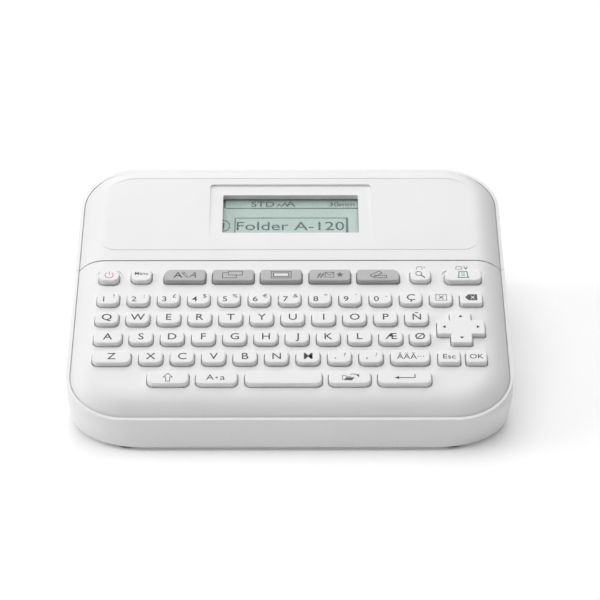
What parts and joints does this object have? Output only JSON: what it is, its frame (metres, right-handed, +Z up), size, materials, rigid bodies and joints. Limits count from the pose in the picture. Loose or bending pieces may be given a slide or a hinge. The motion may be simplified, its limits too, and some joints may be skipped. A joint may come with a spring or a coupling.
{
  "type": "label maker",
  "caption": "Wedge-shaped desktop label maker: full keyboard, hinged lid with a small display over the tape bay, side cutter button and sliding battery cover.",
  "frame": {"origin": "middle of the footprint, on the table under the rubber feet", "axes": "+X to the user's right, +Y away from the user, +Z up"},
  "size_m": [0.188, 0.177, 0.0719],
  "materials": {
    "shell_white": "satin",
    "key_white": "satin",
    "key_grey": "satin",
    "feet_rubber": "matt",
    "mat_rubber": "matt",
    "roller_rubber": "matt",
    "window_clear": "polished",
    "lcd_face": "satin",
    "board_green": "satin",
    "inner_grey": "matt",
    "gear_acetal": "satin",
    "pinion_brass": "machined",
    "steel": "zinc plated",
    "head_ceramic": "glazed",
    "heatsink_aluminium": "plain",
    "cassette_dark": "fine texture",
    "tape_white": "laminated",
    "cell_wrap": "shrink wrap",
    "socket_metal": "plated",
    "socket_black": "moulded"
  },
  "bodies": {
    "case": {"lower_shell": "shell_white", "keyboard_panel": "shell_white", "tape_deck": "inner_grey", "main_pcb": "board_green", "keypad_mat": "mat_rubber", "motor": "steel", "print_head": "head_ceramic", "head_heatsink": "heatsink_aluminium", "tape_cassette": "cassette_dark", "label_tape": "tape_white", "fixed_blade": "steel", "batteries": "cell_wrap", "battery_contacts": "steel", "rubber_feet": "feet_rubber", "case_screws": "steel", "dc_jack": "socket_black", "usb_port": "socket_metal", "hinge_pins": "steel"},
    "lid": {"lid_frame": "shell_white", "lid_top": "shell_white", "display_window": "window_clear", "lcd_panel": "lcd_face", "lcd_board": "board_green", "lcd_holder": "inner_grey"},
    "battery_door": {"battery_cover": "shell_white"},
    "release": {"lid_release": "shell_white"},
    "cutter": {"cutter_button": "shell_white"},
    "blade": {"cutter_blade": "steel", "blade_carrier": "inner_grey"},
    "motor_shaft": {"motor_pinion": "pinion_brass"},
    "reduction": {"reduction_gear": "gear_acetal"},
    "idler": {"idler_gear": "gear_acetal"},
    "platen": {"platen_gear": "gear_acetal", "platen_roller": "roller_rubber"},
    "takeup": {"takeup_spindle": "gear_acetal"},
    "feed": {"feed_roller": "gear_acetal"},
    "spool": {"tape_spool": "tape_white"},
    "key_power_body": {"key_power": "key_white"},
    "key_menu_body": {"key_menu": "key_white"},
    "key_preview_body": {"key_preview": "key_white"},
    "key_print_body": {"key_print": "key_white"},
    "keys_digits_body": {"keys_digits": "key_white"},
    "key_clear_body": {"key_clear": "key_white"},
    "key_backspace_body": {"key_backspace": "key_white"},
    "keys_letters_q_body": {"keys_letters_q": "key_white"},
    "keys_letters_a_body": {"keys_letters_a": "key_white"},
    "keys_letters_z_body": {"keys_letters_z": "key_white"},
    "key_escape_body": {"key_escape": "key_white"},
    "key_ok_body": {"key_ok": "key_white"},
    "key_shift_body": {"key_shift": "key_white"},
    "key_caps_body": {"key_caps": "key_white"},
    "key_space_body": {"key_space": "key_white"},
    "key_file_body": {"key_file": "key_white"},
    "key_enter_body": {"key_enter": "key_white"},
    "arrow_pad_body": {"arrow_pad": "key_white"},
    "key_font_body": {"key_font": "key_grey"},
    "key_frame_style_body": {"key_frame_style": "key_grey"},
    "key_frame_body": {"key_frame": "key_grey"},
    "key_symbol_body": {"key_symbol": "key_grey"},
    "key_label_body": {"key_label": "key_grey"}
  },
  "joints": [
    {"name": "lid_hinge", "type": "hinge", "parent": "case", "child": "lid", "pos_m": [0, 0.0855, 0.046], "axis": [-1, 0, 0], "range_deg": [0, 75]},
    {"name": "battery_cover_slide", "type": "slide", "parent": "case", "child": "battery_door", "axis": [1, 0, 0], "range_m": [0, 0.06]},
    {"name": "lid_release_press", "type": "slide", "parent": "case", "child": "release", "axis": [-1, 0, 0], "range_m": [0, 0.0025], "stiffness_N_per_m": 800},
    {"name": "cutter_press", "type": "slide", "parent": "case", "child": "cutter", "axis": [1, 0, 0], "range_m": [0, 0.005], "stiffness_N_per_m": 600},
    {"name": "blade_slide", "type": "slide", "parent": "case", "child": "blade", "axis": [0, -1, 0], "range_m": [0, 0.005]},
    {"name": "motor_spin", "type": "hinge", "parent": "case", "child": "motor_shaft", "pos_m": [0.0091, 0.01131, 0.0155], "axis": [0, 0, 1], "continuous": true},
    {"name": "reduction_spin", "type": "hinge", "parent": "case", "child": "reduction", "pos_m": [-0.00999, 0.01332, 0.0155], "axis": [0, 0, 1], "continuous": true},
    {"name": "idler_spin", "type": "hinge", "parent": "case", "child": "idler", "pos_m": [-0.0267, 0.01508, 0.012], "axis": [0, 0, 1], "continuous": true},
    {"name": "platen_spin", "type": "hinge", "parent": "case", "child": "platen", "pos_m": [-0.045, 0.017, 0.03], "axis": [0, 0, 1], "continuous": true},
    {"name": "takeup_spin", "type": "hinge", "parent": "case", "child": "takeup", "pos_m": [-0.03646, 0.037, 0.02], "axis": [0, 0, 1], "continuous": true},
    {"name": "feed_spin", "type": "hinge", "parent": "case", "child": "feed", "pos_m": [-0.063, 0.0178, 0.032], "axis": [0, 0, 1], "continuous": true},
    {"name": "spool_spin", "type": "hinge", "parent": "case", "child": "spool", "pos_m": [-0.056, 0.0544, 0.032], "axis": [0, 0, 1], "continuous": true},
    {"name": "press_power", "type": "slide", "parent": "case", "child": "key_power_body", "axis": [0, 0.3584, -0.9336], "range_m": [0, 0.0012], "stiffness_N_per_m": 300},
    {"name": "press_menu", "type": "slide", "parent": "case", "child": "key_menu_body", "axis": [0, 0.3584, -0.9336], "range_m": [0, 0.0012], "stiffness_N_per_m": 300},
    {"name": "press_preview", "type": "slide", "parent": "case", "child": "key_preview_body", "axis": [0, 0.3584, -0.9336], "range_m": [0, 0.0012], "stiffness_N_per_m": 300},
    {"name": "press_print", "type": "slide", "parent": "case", "child": "key_print_body", "axis": [0, 0.3584, -0.9336], "range_m": [0, 0.0012], "stiffness_N_per_m": 300},
    {"name": "press_digits", "type": "slide", "parent": "case", "child": "keys_digits_body", "axis": [0, 0.3584, -0.9336], "range_m": [0, 0.0012], "stiffness_N_per_m": 800},
    {"name": "press_clear", "type": "slide", "parent": "case", "child": "key_clear_body", "axis": [0, 0.3584, -0.9336], "range_m": [0, 0.0012], "stiffness_N_per_m": 300},
    {"name": "press_backspace", "type": "slide", "parent": "case", "child": "key_backspace_body", "axis": [0, 0.3584, -0.9336], "range_m": [0, 0.0012], "stiffness_N_per_m": 300},
    {"name": "press_letters_q", "type": "slide", "parent": "case", "child": "keys_letters_q_body", "axis": [0, 0.3584, -0.9336], "range_m": [0, 0.0012], "stiffness_N_per_m": 800},
    {"name": "press_letters_a", "type": "slide", "parent": "case", "child": "keys_letters_a_body", "axis": [0, 0.3584, -0.9336], "range_m": [0, 0.0012], "stiffness_N_per_m": 800},
    {"name": "press_letters_z", "type": "slide", "parent": "case", "child": "keys_letters_z_body", "axis": [0, 0.3584, -0.9336], "range_m": [0, 0.0012], "stiffness_N_per_m": 800},
    {"name": "press_escape", "type": "slide", "parent": "case", "child": "key_escape_body", "axis": [0, 0.3584, -0.9336], "range_m": [0, 0.0012], "stiffness_N_per_m": 300},
    {"name": "press_ok", "type": "slide", "parent": "case", "child": "key_ok_body", "axis": [0, 0.3584, -0.9336], "range_m": [0, 0.0012], "stiffness_N_per_m": 300},
    {"name": "press_shift", "type": "slide", "parent": "case", "child": "key_shift_body", "axis": [0, 0.3584, -0.9336], "range_m": [0, 0.0012], "stiffness_N_per_m": 300},
    {"name": "press_caps", "type": "slide", "parent": "case", "child": "key_caps_body", "axis": [0, 0.3584, -0.9336], "range_m": [0, 0.0012], "stiffness_N_per_m": 300},
    {"name": "press_space", "type": "slide", "parent": "case", "child": "key_space_body", "axis": [0, 0.3584, -0.9336], "range_m": [0, 0.0012], "stiffness_N_per_m": 300},
    {"name": "press_file", "type": "slide", "parent": "case", "child": "key_file_body", "axis": [0, 0.3584, -0.9336], "range_m": [0, 0.0012], "stiffness_N_per_m": 300},
    {"name": "press_enter", "type": "slide", "parent": "case", "child": "key_enter_body", "axis": [0, 0.3584, -0.9336], "range_m": [0, 0.0012], "stiffness_N_per_m": 300},
    {"name": "press_arrow_pad", "type": "slide", "parent": "case", "child": "arrow_pad_body", "axis": [0, 0.3584, -0.9336], "range_m": [0, 0.0012], "stiffness_N_per_m": 300},
    {"name": "press_font", "type": "slide", "parent": "case", "child": "key_font_body", "axis": [0, 0.3584, -0.9336], "range_m": [0, 0.0012], "stiffness_N_per_m": 300},
    {"name": "press_frame_style", "type": "slide", "parent": "case", "child": "key_frame_style_body", "axis": [0, 0.3584, -0.9336], "range_m": [0, 0.0012], "stiffness_N_per_m": 300},
    {"name": "press_frame", "type": "slide", "parent": "case", "child": "key_frame_body", "axis": [0, 0.3584, -0.9336], "range_m": [0, 0.0012], "stiffness_N_per_m": 300},
    {"name": "press_symbol", "type": "slide", "parent": "case", "child": "key_symbol_body", "axis": [0, 0.3584, -0.9336], "range_m": [0, 0.0012], "stiffness_N_per_m": 300},
    {"name": "press_label", "type": "slide", "parent": "case", "child": "key_label_body", "axis": [0, 0.3584, -0.9336], "range_m": [0, 0.0012], "stiffness_N_per_m": 300}
  ],
  "couplings": [
    {"joint": "blade_slide", "follows": "cutter_press", "ratio": 1},
    {"joint": "reduction_spin", "follows": "motor_spin", "ratio": -0.33333},
    {"joint": "idler_spin", "follows": "motor_spin", "ratio": 0.13333},
    {"joint": "platen_spin", "follows": "motor_spin", "ratio": -0.25},
    {"joint": "takeup_spin", "follows": "motor_spin", "ratio": -0.13333},
    {"joint": "feed_spin", "follows": "motor_spin", "ratio": -0.30556},
    {"joint": "spool_spin", "follows": "motor_spin", "ratio": 0.063218}
  ]
}
